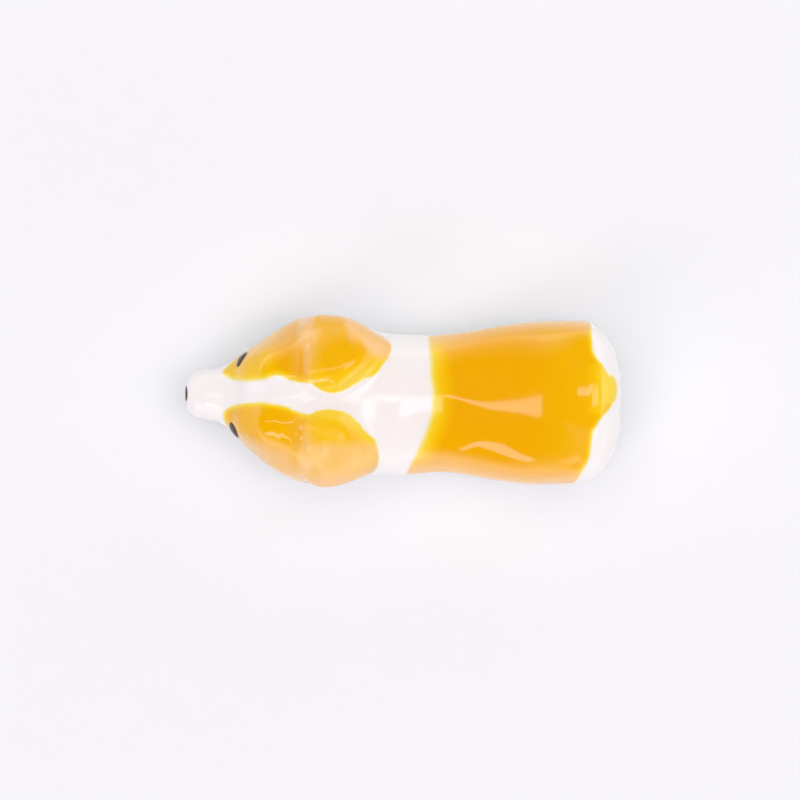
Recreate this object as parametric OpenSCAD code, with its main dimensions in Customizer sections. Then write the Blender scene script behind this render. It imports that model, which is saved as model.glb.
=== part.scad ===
/* [Torso] */
// Length of the torso, from the chest under the chin to the end of the rump
torso_l = 48; // [45:0.5:52]
// Widest breadth of the torso, across the haunches
torso_w = 23.2; // [21:0.2:26]
// Height of the nape, where the neck is thickest
nape_h = 15.8; // [14.8:0.1:17]
// Lowest height of the back, where the chopsticks lie
back_h = 13.2; // [12:0.1:14]
// Height of the rump
rump_h = 18.2; // [17:0.1:20]
// Height of the widest line of the flanks
flank_h = 7.6; // [6.8:0.1:9]
// Length of the rounded end of the rump
rump_round = 7; // [5:0.1:8]
// Length of the rounded front of the chest
chest_round = 5; // [4:0.1:7]

/* [Head] */
// Length of the head, from the muzzle's tip to its end inside the neck
head_l = 30; // [28.5:0.5:32]
// How far the muzzle's tip stands out before the chest
head_out = 12.9; // [11.5:0.1:14]
// Widest breadth of the skull, across the cheeks
head_w = 23.6; // [22:0.2:25.6]
// Height of the top of the muzzle
muzzle_h = 10.4; // [9.4:0.1:11.5]
// Height of the crown, between the ears
crown_h = 18.2; // [17.2:0.1:19.2]
// Height of the chin above the table
chin_h = 4.2; // [3.8:0.1:4.8]
// Height of the widest line of the cheeks
cheek_h = 8.8; // [8:0.1:9.6]
// Distance of the muzzle's tip from the middle, as the head looks a little to its right
muzzle_off = 0.9; // [0:0.1:1.5]
// Length of the rounded tip of the muzzle
muzzle_round = 3; // [2:0.1:4.5]
// Length of the rounded back of the skull, inside the neck
skull_round = 6; // [4.5:0.1:8]
// Radius of the brow above each eye
brow_r = 3.6; // [3:0.1:4.2]
// Radius of each lip pad beside the nose
lip_r = 2; // [1.6:0.1:2.4]

/* [Ears] */
// Length of the right ear, from its crease to its tip
right_ear_l = 11.7; // [11:0.1:13.4]
// Length of the left ear, from its crease to its tip
left_ear_l = 9.3; // [9:0.1:11.4]
// Breadth of an ear at its widest, measured along its slope
ear_w = 12; // [10.5:0.1:13]
// Thickness of an ear in its middle
ear_t = 6.4; // [5.6:0.1:7]
// Slope of an ear, falling outwards
ear_roll_angle = 27; // [22:1:32]
// Distance of an ear's middle line from the middle of the head
ear_out = 6.8; // [6.4:0.1:7.2]
// Height of an ear's middle line above the table
ear_h = 15.7; // [15:0.1:16.6]

/* [Paws] */
// Length of a foreleg, from its elbow to its toes
foreleg_l = 18; // [16:0.5:19.5]
// Breadth of a front paw
paw_w = 4.5; // [4:0.1:5]
// Gap between the two front paws
paw_gap = 0.3; // [0.2:0.05:0.6]
// Length of a hind foot
foot_l = 12.5; // [10:0.5:15]
// Breadth of a hind foot
foot_w = 5; // [4.4:0.1:5.8]
// Radius of one toe
toe_r = 1; // [0.8:0.05:1.2]

/* [Tail] */
// Length of the tail stub
tail_l = 9; // [7.5:0.1:10]
// Breadth of the tail stub
tail_w = 9.4; // [8:0.1:10.4]
// Thickness of the tail stub
tail_t = 5.6; // [4.8:0.1:6.4]
// Distance of the tail from the middle of the rump
tail_off = 1.9; // [1:0.1:2.8]

/* [Glaze] */
// Thickness of a coloured glaze layer
glaze_t = 0.3; // [0.2:0.05:0.5]
// Height of the saddle glaze's lower edge above the table
saddle_low = 5.6; // [5:0.1:7]
// Height of the face glaze's lower edge above the table, at the cheeks
mask_low = 6; // [5:0.1:7.5]
// Radius of the brush that laid the glaze on
brush_r = 1.2; // [0.8:0.1:1.6]

/* [Eyes and nose] */
// Length of an eye
eye_l = 2.6; // [2:0.1:3.2]
// Breadth of an eye
eye_w = 1.8; // [1.4:0.1:2.2]
// Breadth of the nose
nose_w = 2.2; // [1.8:0.1:2.8]
// Height of the nose
nose_h = 1.8; // [1.4:0.1:2.2]
// How far the nose stands out before the muzzle
nose_out = 0.3; // [0.15:0.05:0.6]

/* [Hidden] */

white = "#F7F3EE";
orange = "#F5AE12";
golden = "#F8C04A";
black = "#1C1816";

// Facets round a ring of a skin, rings along its middle and rings along each rounded end
ring_facets = 26;
mid_rings = 18;
end_rings = 6;
// Facets round a ball, and round a small one
ball_facets = 16;
bead_facets = 12;

// The figure lies along x with its nose first, its right side towards +y, and its middle at zero
whole_l = torso_l + head_out + nose_out;
chest_x = whole_l / 2 - torso_l;
muzzle_x = chest_x - head_out;
// Share of the head, from the tip, over which its middle line turns aside
yaw_share = 0.65;

// Squareness of the head's rings and of the rump's rounded end: 1 is an ellipse, more is squarer
head_square_share = 1.1;
rump_square_share = 1.3;
// Depth of a ring's lower half as a share of the height of its widest line; over 1 it gives a flat foot
belly_share = 1.28;
// How far down its lower half a ring goes before it is closed with a flat keel
keel_share = 0.94;

// Torso: place, right and left half breadth, height as shares of nape, back and rump, widest line, squareness
torso_shares = [
    [0.00, 0.40, 0.40, 0.36, 0.00, 0.00, 0.46, 1.20],
    [0.08, 0.55, 0.57, 0.56, 0.00, 0.00, 0.66, 1.20],
    [0.19, 0.72, 0.78, 0.84, 0.00, 0.00, 0.90, 1.20],
    [0.27, 0.80, 0.88, 0.98, 0.00, 0.00, 1.00, 1.20],
    [0.33, 0.81, 0.905, 1.00, 0.00, 0.00, 1.04, 1.18],
    [0.38, 0.80, 0.895, 0.97, 0.00, 0.00, 1.04, 1.10],
    [0.44, 0.785, 0.872, 0.42, 0.565, 0.00, 1.00, 1.02],
    [0.50, 0.805, 0.868, 0.00, 1.02, 0.00, 0.97, 0.98],
    [0.56, 0.835, 0.906, 0.00, 1.00, 0.00, 0.97, 1.00],
    [0.645, 0.90, 0.968, 0.00, 0.95, 0.064, 1.00, 1.20],
    [0.73, 0.945, 1.010, 0.00, 0.62, 0.373, 1.04, 1.60],
    [0.81, 0.962, 1.008, 0.00, 0.20, 0.778, 1.07, 1.72],
    [0.845, 0.962, 1.002, 0.00, 0.06, 0.925, 1.07, 1.72],
    [0.885, 0.962, 0.998, 0.00, 0.00, 0.998, 1.07, 1.70],
    [1.00, 0.925, 0.955, 0.00, 0.00, 0.995, 1.07, 1.50]
];

// Head: place, right and left half breadth, height as shares of muzzle and crown, chin, widest line
head_shares = [
    [0.00, 0.258, 0.258, 0.93, 0.00, 1.10, 0.80],
    [0.08, 0.271, 0.260, 0.98, 0.00, 1.02, 0.82],
    [0.165, 0.330, 0.305, 1.01, 0.00, 1.00, 0.84],
    [0.242, 0.478, 0.504, 0.50, 0.365, 0.96, 0.88],
    [0.296, 0.572, 0.627, 0.00, 0.74, 0.90, 0.92],
    [0.352, 0.678, 0.758, 0.00, 0.845, 0.80, 0.95],
    [0.444, 0.843, 0.903, 0.00, 0.955, 0.66, 0.98],
    [0.538, 0.981, 0.983, 0.00, 0.98, 0.54, 1.00],
    [0.662, 1.00, 1.00, 0.00, 0.955, 0.45, 1.05],
    [0.836, 0.89, 0.898, 0.00, 0.91, 0.45, 1.05],
    [1.00, 0.653, 0.67, 0.00, 0.80, 0.60, 1.00]
];

// Brows: start and end along the head, angle round the ring
brow_shares = [[0.375, 0.490, 58], [0.355, 0.480, 119]];
// Size of a brow's ends, how deep its middle line lies under the skin, and its stretch along the head
brow_end_share = 0.93;
brow_sink_share = 0.86;
brow_long_share = 1.1;

// Lip pads: start and end along the head, angle round the ring
lip_shares = [[0.06, 0.14, -22], [0.06, 0.14, 202]];
// How much a lip pad thins backwards, and its place between the muzzle's middle and its skin
lip_taper_share = 0.15;
lip_in_share = 0.48;

// Ears, from crease to tip: place, breadth, thickness, height and distance from the middle
right_ear_shares = [
    [0.07, 0.889, 0.62, 0.978, 1.05],
    [0.16, 0.886, 0.82, 0.975, 1.024],
    [0.27, 0.939, 1.00, 0.975, 0.965],
    [0.39, 0.918, 1.00, 0.992, 0.975],
    [0.51, 0.81, 0.93, 1.000, 1.012],
    [0.63, 0.675, 0.84, 0.987, 1.03],
    [0.74, 0.524, 0.74, 0.952, 1.025],
    [0.83, 0.392, 0.64, 0.911, 1.015],
    [0.90, 0.265, 0.52, 0.880, 1.02]
];
left_ear_shares = [
    [0.07, 0.936, 0.62, 0.978, 0.985],
    [0.16, 0.967, 0.82, 0.973, 0.98],
    [0.27, 0.985, 1.00, 0.972, 0.97],
    [0.39, 0.967, 1.00, 0.985, 0.975],
    [0.51, 0.912, 0.94, 0.990, 0.978],
    [0.63, 0.812, 0.87, 0.975, 1.00],
    [0.74, 0.684, 0.80, 0.945, 1.044],
    [0.83, 0.566, 0.72, 0.915, 1.066],
    [0.90, 0.43, 0.62, 0.885, 1.103]
];
// Share of its breadth that a slice of an ear reaches along the length
ear_long_share = 0.27;
// Place of the ears' crease along the head
crease_share = 0.563;

// Forelegs, from elbow to paw: place, distance from the middle, height, breadth and rise in paw breadths
foreleg_shares = [
    [0.04, 1.86, 0.58, 1.00, 0.95],
    [0.20, 1.72, 0.60, 1.10, 1.05],
    [0.36, 1.48, 0.58, 1.08, 1.04],
    [0.52, 1.16, 0.53, 1.00, 0.98],
    [0.68, 0.77, 0.48, 0.95, 0.92],
    [0.84, 0.46, 0.44, 0.98, 0.90]
];
// Place of the elbows along the torso
elbow_share = 0.19;

// Hind feet, from heel to toes: place, share of the flank's half breadth, breadth and rise
hind_shares = [
    [0.00, 0.68, 0.76, 0.82],
    [0.17, 0.705, 0.92, 0.94],
    [0.34, 0.72, 1.00, 1.00],
    [0.51, 0.735, 1.00, 0.98],
    [0.68, 0.75, 0.96, 0.92],
    [0.85, 0.765, 0.98, 0.86]
];
// Place of the heels along the torso, and how far a hind foot's middle line lies above the table
heel_share = 0.87;
foot_lift_share = 0.8;

// Toes of a paw, the distance between two of them in paw breadths, and the height of their middle
toe_count = 3;
toe_step_share = 0.30;
toe_lift_share = 0.95;

// Tail stub, from its root on the rump to its knob: place, breadth, thickness and height
tail_shares = [
    [0.10, 0.62, 0.52, 0.829],
    [0.20, 0.78, 0.68, 0.848],
    [0.31, 0.90, 0.82, 0.860],
    [0.42, 0.98, 0.92, 0.870],
    [0.53, 1.00, 1.00, 0.880],
    [0.63, 0.99, 0.98, 0.888],
    [0.72, 0.93, 0.92, 0.888],
    [0.80, 0.82, 0.82, 0.882],
    [0.86, 0.66, 0.66, 0.870]
];
// Share of its breadth that a slice of the tail reaches along the length
tail_long_share = 0.25;
// How far the tail's tip stays before the end of the rump, as a share of the rump's rounded end
tail_end_share = 0.19;

// Saddle glaze: place as a share of half the torso's breadth, front and rear edge along the torso
saddle_shares = [
    [-1.15, 0.376, 0.862],
    [-0.93, 0.378, 0.868],
    [-0.72, 0.395, 0.900],
    [-0.48, 0.418, 0.905],
    [-0.30, 0.435, 0.908],
    [-0.13, 0.446, 0.914],
    [0.10, 0.446, 0.926],
    [0.28, 0.444, 0.926],
    [0.46, 0.440, 0.912],
    [0.66, 0.437, 0.908],
    [0.90, 0.434, 0.908],
    [1.15, 0.432, 0.906]
];
// Waves along the saddle glaze's lower edge, facets of each, and their depth in brush radii
wave_count = 3;
wave_facets = 12;
wave_share = 0.5;

// Face glazes: place along the head, inner and outer edge as shares of half the head's breadth
right_face_shares = [
    [0.194, 0.330, 0.54],
    [0.240, 0.251, 0.77],
    [0.300, 0.215, 1.05],
    [0.363, 0.228, 1.30],
    [0.415, 0.287, 1.30],
    [0.455, 0.305, 1.30],
    [0.497, 0.230, 1.30],
    [0.544, 0.206, 1.30],
    [0.610, 0.206, 1.30]
];
left_face_shares = [
    [0.204, 0.153, 0.48],
    [0.242, 0.059, 0.77],
    [0.300, 0.029, 1.05],
    [0.363, 0.012, 1.30],
    [0.415, 0.029, 1.30],
    [0.466, 0.048, 1.30],
    [0.512, 0.105, 1.30],
    [0.550, 0.158, 1.30],
    [0.610, 0.158, 1.30]
];
// Lower edge of a face glaze, from muzzle to crease: place along the head and height in mask_low
mask_edge_shares = [
    [0.16, 1.62],
    [0.22, 1.44],
    [0.28, 1.28],
    [0.36, 1.12],
    [0.44, 1.03],
    [0.56, 1.00],
    [0.65, 1.04]
];

// Two places on the skull that each eye lies between: along the head, angle round the ring
right_eye_shares = [[0.246, 44], [0.280, 15]];
left_eye_shares = [[0.214, 134], [0.241, 168]];
// Balls that draw a bead of enamel, and how far towards its end the last one sits
bead_balls = 9;
bead_end_share = 0.9;
// Height of the nose's middle between the muzzle's widest line and its top
nose_up_share = 0.08;

// Row of a table that starts the stretch in which place x lies
function row_before(t, x, i = 0) =
    i >= len(t) - 2 || x < t[i + 1][0] ? i : row_before(t, x, i + 1);

// Slope of column c at row i, taken through its neighbours
function row_slope(t, c, i) =
    let(a = max(i - 1, 0), b = min(i + 1, len(t) - 1)) (t[b][c] - t[a][c]) / (t[b][0] - t[a][0]);

// Smooth value of column c at place x
function smooth_at(t, c, x) =
    let(
        i = row_before(t, x),
        w = t[i + 1][0] - t[i][0],
        u = max(0, min(1, (x - t[i][0]) / w)),
        rise = t[i + 1][c] - t[i][c],
        p = row_slope(t, c, i) * w,
        q = row_slope(t, c, i + 1) * w
    ) t[i][c] + u * (p + u * (3 * rise - 2 * p - q + u * (p + q - 2 * rise)));

function signed_pow(v, e) = sign(v) * pow(abs(v), e);

// How far a form has swelled at x between two rounded ends: 0 at an end, 1 along the middle
function end_swell(x, x0, x1, r0, r1, square) =
    x < x0 + r0 ? sqrt(max(0, 1 - pow((x0 + r0 - x) / r0, 2))) :
    x > x1 - r1 ? pow(max(0, 1 - pow((x - x1 + r1) / r1, 2 * square)), 0.5 / square) : 1;

// Places of the rings, closer together in the rounded ends
function ring_places(x0, x1, r0, r1) = concat(
    [for (i = [1 : end_rings]) x0 + r0 * (1 - cos(90 * i / end_rings))],
    [for (i = [1 : mid_rings - 1]) x0 + r0 + (x1 - r1 - x0 - r0) * i / mid_rings],
    [for (i = [end_rings : -1 : 1]) x1 - r1 * (1 - cos(90 * i / end_rings))]
);

// A form at x: its middle, right half, left half, height of its widest line, rise above, drop below, squareness
function torso_at(x) =
    let(
        s = (x - chest_x) / torso_l,
        widest = smooth_at(torso_shares, 6, s) * flank_h,
        nape = smooth_at(torso_shares, 3, s) * nape_h,
        back = smooth_at(torso_shares, 4, s) * back_h,
        rump = smooth_at(torso_shares, 5, s) * rump_h
    ) [
        0,
        smooth_at(torso_shares, 1, s) * torso_w / 2,
        smooth_at(torso_shares, 2, s) * torso_w / 2,
        widest,
        nape + back + rump - widest,
        widest * belly_share,
        smooth_at(torso_shares, 7, s)
    ];

function head_at(x) =
    let(
        s = (x - muzzle_x) / head_l,
        widest = smooth_at(head_shares, 6, s) * cheek_h,
        top = smooth_at(head_shares, 3, s) * muzzle_h + smooth_at(head_shares, 4, s) * crown_h
    ) [
        muzzle_off * max(0, 1 - s / yaw_share),
        smooth_at(head_shares, 1, s) * head_w / 2,
        smooth_at(head_shares, 2, s) * head_w / 2,
        widest,
        top - widest,
        widest - smooth_at(head_shares, 5, s) * chin_h,
        head_square_share
    ];

// A point of a ring: angle 0 is the right side, 90 the top and 180 the left side
function ring_point(x, f, swell, grow, angle) =
    let(
        c = signed_pow(cos(angle), 1 / f[6]),
        s = signed_pow(sin(angle), 1 / f[6])
    ) [
        x,
        f[0] + c * swell * ((c > 0 ? f[1] : f[2]) + grow),
        f[3] + s * swell * ((s > 0 ? f[4] : f[5]) + grow)
    ];

// A ring runs over the form from one side of its foot or keel to the other
function ring(x, f, swell, grow) =
    let(
        drop = swell * (f[5] + grow),
        stands = drop * keel_share > f[3],
        start = -asin(stands ? pow(f[3] / drop, f[6]) : keel_share),
        turn = 180 - 2 * start,
        last = ring_facets - 1
    ) [
        for (j = [0 : last])
            let(p = ring_point(x, f, swell, grow, start + turn * j / last))
                stands && (j == 0 || j == last) ? [p[0], p[1], 0] : [p[0], p[1], max(p[2], 0)]
    ];

// Closed skin through rings, with a pole at each end
module skin(rings, pole0, pole1) {
    n = len(rings[0]);
    m = len(rings);
    points = concat([for (r = rings) each r], [pole0, pole1]);
    sides = [
        for (i = [0 : m - 2], j = [0 : n - 1])
            let(a = i * n + j, b = i * n + (j + 1) % n)
                each [[a, b + n, b], [a, a + n, b + n]]
    ];
    front = [for (j = [0 : n - 1]) [m * n, j, (j + 1) % n]];
    rear = [for (j = [0 : n - 1]) [m * n + 1, (m - 1) * n + (j + 1) % n, (m - 1) * n + j]];
    polyhedron(points, concat(sides, front, rear));
}

// The torso's skin, grown outwards by the thickness of a layer
module torso_skin(grow = 0) {
    x0 = chest_x - grow;
    x1 = whole_l / 2 + grow;
    r0 = chest_round + grow;
    r1 = rump_round + grow;
    rings = [
        for (x = ring_places(x0, x1, r0, r1))
            ring(x, torso_at(x), end_swell(x, x0, x1, r0, r1, rump_square_share), grow)
    ];
    skin(rings, [x0, 0, torso_at(x0)[3]], [x1, 0, torso_at(x1)[3]]);
}

// The skull's skin with the muzzle, grown in the same way
module skull_skin(grow = 0) {
    x0 = muzzle_x - grow;
    x1 = muzzle_x + head_l + grow;
    r0 = muzzle_round + grow;
    r1 = skull_round + grow;
    rings = [
        for (x = ring_places(x0, x1, r0, r1))
            ring(x, head_at(x), end_swell(x, x0, x1, r0, r1, 1), grow)
    ];
    skin(rings, [x0, head_at(x0)[0], head_at(x0)[3]], [x1, head_at(x1)[0], head_at(x1)[3]]);
}

// A point on the skull at a share of the head's length and an angle round the ring
function skull_point(share, angle) =
    let(x = muzzle_x + share * head_l) ring_point(x, head_at(x), 1, 0, angle);

// A ball is an ellipsoid: its middle, its three radii and its roll about the length
module ball(b, facets) {
    translate(b[0])
        rotate([b[2], 0, 0])
            scale(b[1])
                sphere(r = 1, $fn = facets);
}

// A limb runs through a row of balls
module limb(balls, facets = ball_facets) {
    for (i = [0 : len(balls) - 2])
        hull() {
            ball(balls[i], facets);
            ball(balls[i + 1], facets);
        }
}

// Toes fan out from the last ball of a foot to the given place along x
module toe_row(foot, breadth, x) {
    for (k = [0 : toe_count - 1])
        hull() {
            ball(foot, bead_facets);
            ball(
                [
                    [x, foot[0][1] + (k - (toe_count - 1) / 2) * breadth * toe_step_share, toe_r * toe_lift_share],
                    [toe_r, toe_r, toe_r],
                    0
                ],
                bead_facets
            );
        }
}

// All that lies under the table's surface
module under_table() {
    translate([-whole_l, -whole_l, -whole_l])
        cube([2 * whole_l, 2 * whole_l, whole_l]);
}

// The whole head with its brows and lip pads, grown by the thickness of a layer
module head_form(grow = 0) {
    skull_skin(grow);
    for (row = brow_shares)
        limb([
            for (t = [0 : 0.5 : 1])
                let(
                    top = skull_point(row[0] + (row[1] - row[0]) * t, row[2]),
                    f = head_at(top[0]),
                    inward = [top[0], f[0], f[3]] - top,
                    r = brow_r * (t == 0.5 ? 1 : brow_end_share) + grow
                ) [top + inward / norm(inward) * brow_r * brow_sink_share, [r * brow_long_share, r, r], 0]
        ]);
    for (row = lip_shares)
        limb(
            [
                for (t = [0 : 0.5 : 1])
                    let(
                        side = skull_point(row[0] + (row[1] - row[0]) * t, row[2]),
                        f = head_at(side[0]),
                        middle = [side[0], f[0], f[3]],
                        r = lip_r * (1 - lip_taper_share * t) + grow
                    ) [middle + (side - middle) * lip_in_share, [r, r, r], 0]
            ],
            bead_facets
        );
}

// An ear is a broad lobe that starts at the crease, lies back over the neck and narrows to its tip
module ear_form(side, length, rows) {
    crease_x = muzzle_x + crease_share * head_l;
    limb([
        for (row = rows)
            let(half = ear_w / 2 * row[1])
                [
                    [crease_x + row[0] * length, side * ear_out * row[4], ear_h * row[3]],
                    [half * ear_long_share, half, ear_t / 2 * row[2]],
                    -side * ear_roll_angle
                ]
    ]);
}

// A foreleg lies on the table from the elbow beside the chest to the paw under the muzzle
module foreleg_form(side) {
    elbow_x = chest_x + elbow_share * torso_l;
    balls = [
        for (row = foreleg_shares)
            let(x = elbow_x - row[0] * foreleg_l)
                [
                    [x, head_at(x)[0] + side * (paw_gap / 2 + paw_w * row[1]), paw_w * row[2]],
                    [paw_w / 2 * row[3], paw_w / 2 * row[3], paw_w / 2 * row[4]],
                    0
                ]
    ];
    limb(balls);
    toe_row(balls[len(balls) - 1], paw_w, elbow_x - foreleg_l + toe_r);
}

// A hind foot lies along the foot of the flank, toes forward
module hind_foot_form(side) {
    heel_x = chest_x + heel_share * torso_l;
    balls = [
        for (row = hind_shares)
            let(
                x = heel_x - row[0] * foot_l,
                f = torso_at(x),
                rise = foot_w / 2 * row[3]
            ) [
                [x, side * (side > 0 ? f[1] : f[2]) * row[1], rise * foot_lift_share],
                [foot_w / 2 * row[2], foot_w / 2 * row[2], rise],
                0
            ]
    ];
    limb(balls);
    toe_row(balls[len(balls) - 1], foot_w, heel_x - foot_l);
}

// The tail stub lies over the rump
module tail_form() {
    tip_x = whole_l / 2 - rump_round * tail_end_share;
    limb([
        for (row = tail_shares)
            let(half = tail_w / 2 * row[1])
                [
                    [tip_x - tail_l * (1 - row[0]), tail_off, rump_h * row[3]],
                    [half * 2 * tail_long_share, half, tail_t / 2 * row[2]],
                    0
                ]
    ]);
}

// Brush strokes seen from above, each from one point to another, and each joined to the next
module strokes(rows) {
    for (i = [0 : len(rows) - 2])
        hull()
            for (row = [rows[i], rows[i + 1]], p = row)
                translate(p)
                    circle(r = brush_r, $fn = bead_facets);
}

// Where the saddle glaze lies: its strokes run along the back, and its lower edge waves along the flanks
module saddle_zone() {
    steps = wave_count * wave_facets;
    lower_edge = [
        for (i = [0 : steps])
            [
                chest_x + torso_l * i / steps,
                saddle_low + brush_r * wave_share * sin(360 * i / wave_facets)
            ]
    ];
    intersection() {
        linear_extrude(height = 2 * rump_h)
            strokes([
                for (row = saddle_shares)
                    let(y = row[0] * torso_w / 2)
                        [
                            [chest_x + row[1] * torso_l + brush_r, y],
                            [chest_x + row[2] * torso_l - brush_r, y]
                        ]
            ]);
        rotate([90, 0, 0])
            linear_extrude(height = 2 * torso_w, center = true)
                polygon(concat(lower_edge, [[whole_l / 2, 2 * rump_h], [chest_x, 2 * rump_h]]));
    }
}

// Where a face glaze lies: its strokes run from beside the blaze out over the cheek
module face_zone(side, rows) {
    lower_edge = [
        for (row = mask_edge_shares)
            [muzzle_x + row[0] * head_l, row[1] * mask_low]
    ];
    intersection() {
        linear_extrude(height = 2 * crown_h)
            strokes([
                for (row = rows)
                    let(x = muzzle_x + row[0] * head_l)
                        [
                            [x, side * (row[1] * head_w / 2 + brush_r)],
                            [x, side * (row[2] * head_w / 2 - brush_r)]
                        ]
            ]);
        rotate([90, 0, 0])
            linear_extrude(height = 2 * head_w, center = true)
                polygon(concat(
                    lower_edge,
                    [[lower_edge[len(lower_edge) - 1][0], 2 * crown_h], [lower_edge[0][0], 2 * crown_h]]
                ));
    }
}

// A bead of enamel, drawn by balls along its length: middle, direction, length, breadth and height
module bead(middle, along, length, breadth, height) {
    limb(
        [
            for (i = [0 : bead_balls - 1])
                let(
                    u = (2 * i / (bead_balls - 1) - 1) * bead_end_share,
                    w = sqrt(1 - u * u)
                ) [middle + along * u * length / 2, [breadth / 2 * w, breadth / 2 * w, height / 2 * w], 0]
        ],
        bead_facets
    );
}

// An eye lies along the skin between two places on the skull
module eye_form(ends) {
    a = skull_point(ends[0][0], ends[0][1]);
    b = skull_point(ends[1][0], ends[1][1]);
    bead((a + b) / 2, (b - a) / norm(b - a), eye_l, eye_w, eye_w);
}

// The nose is a rounded pad on the tip of the muzzle
module nose_form() {
    f = head_at(muzzle_x);
    bead([nose_h / 2 - whole_l / 2, f[0], f[3] + f[4] * nose_up_share], [0, 1, 0], nose_w, nose_h, nose_h);
}

module torso() {
    color(white)
        torso_skin();
}

module head() {
    color(white)
        difference() {
            head_form();
            torso_skin();
        }
}

module ear(side, length, rows) {
    color(orange)
        difference() {
            ear_form(side, length, rows);
            head_form();
            torso_skin();
        }
}

module right_ear() {
    ear(1, right_ear_l, right_ear_shares);
}

module left_ear() {
    ear(-1, left_ear_l, left_ear_shares);
}

module front_paw(side) {
    color(white)
        difference() {
            foreleg_form(side);
            head_form();
            torso_skin();
            under_table();
        }
}

module front_right_paw() {
    front_paw(1);
}

module front_left_paw() {
    front_paw(-1);
}

module hind_foot(side) {
    color(white)
        difference() {
            hind_foot_form(side);
            torso_skin();
            under_table();
        }
}

module hind_right_foot() {
    hind_foot(1);
}

module hind_left_foot() {
    hind_foot(-1);
}

module tail() {
    color(orange)
        difference() {
            tail_form();
            torso_skin();
        }
}

module saddle_glaze() {
    color(orange)
        difference() {
            intersection() {
                torso_skin(glaze_t);
                saddle_zone();
            }
            torso_skin();
            tail_form();
        }
}

module face_glaze(side, rows, ear_l, ear_rows) {
    color(golden)
        difference() {
            intersection() {
                head_form(glaze_t);
                face_zone(side, rows);
            }
            head_form();
            ear_form(side, ear_l, ear_rows);
            torso_skin();
        }
}

module right_face_glaze() {
    face_glaze(1, right_face_shares, right_ear_l, right_ear_shares);
}

module left_face_glaze() {
    face_glaze(-1, left_face_shares, left_ear_l, left_ear_shares);
}

module eye(ends) {
    color(black)
        difference() {
            eye_form(ends);
            head_form(glaze_t);
        }
}

module right_eye() {
    eye(right_eye_shares);
}

module left_eye() {
    eye(left_eye_shares);
}

module nose() {
    color(black)
        difference() {
            nose_form();
            head_form();
        }
}

torso();
head();
right_ear();
left_ear();
front_right_paw();
front_left_paw();
hind_right_foot();
hind_left_foot();
tail();
saddle_glaze();
right_face_glaze();
left_face_glaze();
right_eye();
left_eye();
nose();
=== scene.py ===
import math
from collections import namedtuple

import bpy
import numpy as np
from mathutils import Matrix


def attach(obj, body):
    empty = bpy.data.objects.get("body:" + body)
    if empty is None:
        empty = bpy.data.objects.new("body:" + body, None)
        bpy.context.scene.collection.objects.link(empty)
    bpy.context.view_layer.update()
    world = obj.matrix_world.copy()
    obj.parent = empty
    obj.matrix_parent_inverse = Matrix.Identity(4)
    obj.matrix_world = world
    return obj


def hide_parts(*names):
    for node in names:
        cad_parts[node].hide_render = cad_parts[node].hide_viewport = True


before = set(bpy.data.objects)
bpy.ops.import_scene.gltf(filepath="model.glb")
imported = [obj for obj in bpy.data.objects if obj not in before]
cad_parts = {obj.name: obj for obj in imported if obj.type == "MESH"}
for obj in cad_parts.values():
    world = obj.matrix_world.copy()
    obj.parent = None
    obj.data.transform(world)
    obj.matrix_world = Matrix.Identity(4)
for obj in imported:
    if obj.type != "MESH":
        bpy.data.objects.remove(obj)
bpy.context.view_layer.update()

# Lengths are in millimetres until a mesh is made, and angles in degrees.
# The figure lies along x with its nose at -x and its right side at +y, and z is up from the table.
MM = 0.001
FULL_STEP, QUICK_STEP = 0.2, 0.34
STEP = FULL_STEP
LOW = np.array([-31.6, -13.0, -1.0])
HIGH = np.array([31.6, 13.0, 22.8])
COUNT = np.ceil((HIGH - LOW) / STEP).astype(int) + 1
GRID_X, GRID_Y, GRID_Z = (LOW[i] + STEP * np.arange(COUNT[i]) for i in range(3))
X3, Y3, Z3 = GRID_X[:, None, None], GRID_Y[None, :, None], GRID_Z[None, None, :]

# Driving sizes, the same as in the solids
TORSO_L, TORSO_W = 48.0, 23.2
NAPE_H, BACK_H, RUMP_H, FLANK_H = 15.8, 13.2, 18.2, 7.6
HEAD_L, HEAD_W = 30.0, 23.6
MUZZLE_H, CROWN_H, CHIN_H, CHEEK_H = 10.4, 18.2, 4.2, 8.8
HEAD_OUT, NOSE_OUT, MUZZLE_OFF = 12.9, 0.3, 0.9
RUMP_ROUND = 7.0
WHOLE_L = TORSO_L + HEAD_OUT + NOSE_OUT
RUMP_X = WHOLE_L / 2
CHEST_X = RUMP_X - TORSO_L
MUZZLE_X = CHEST_X - HEAD_OUT
# How far the torso goes on below its widest line, and the share of the head over which it turns aside
BELLY_SHARE = 1.28
TURN_SHARE = 0.65
# How round the head's section is
SKULL_POWER = 1.1

# Columns of the two tables: both have the place first, then the half breadths on the right and on the left,
# and the widest line at the same column. Every entry is a share of the driving size of that name.
RIGHT, LEFT, WIDEST = 1, 2, 6
NAPE, BACK, RUMP, SQUARENESS = 3, 4, 5, 7
MUZZLE, CROWN, CHIN = 3, 4, 5

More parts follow.
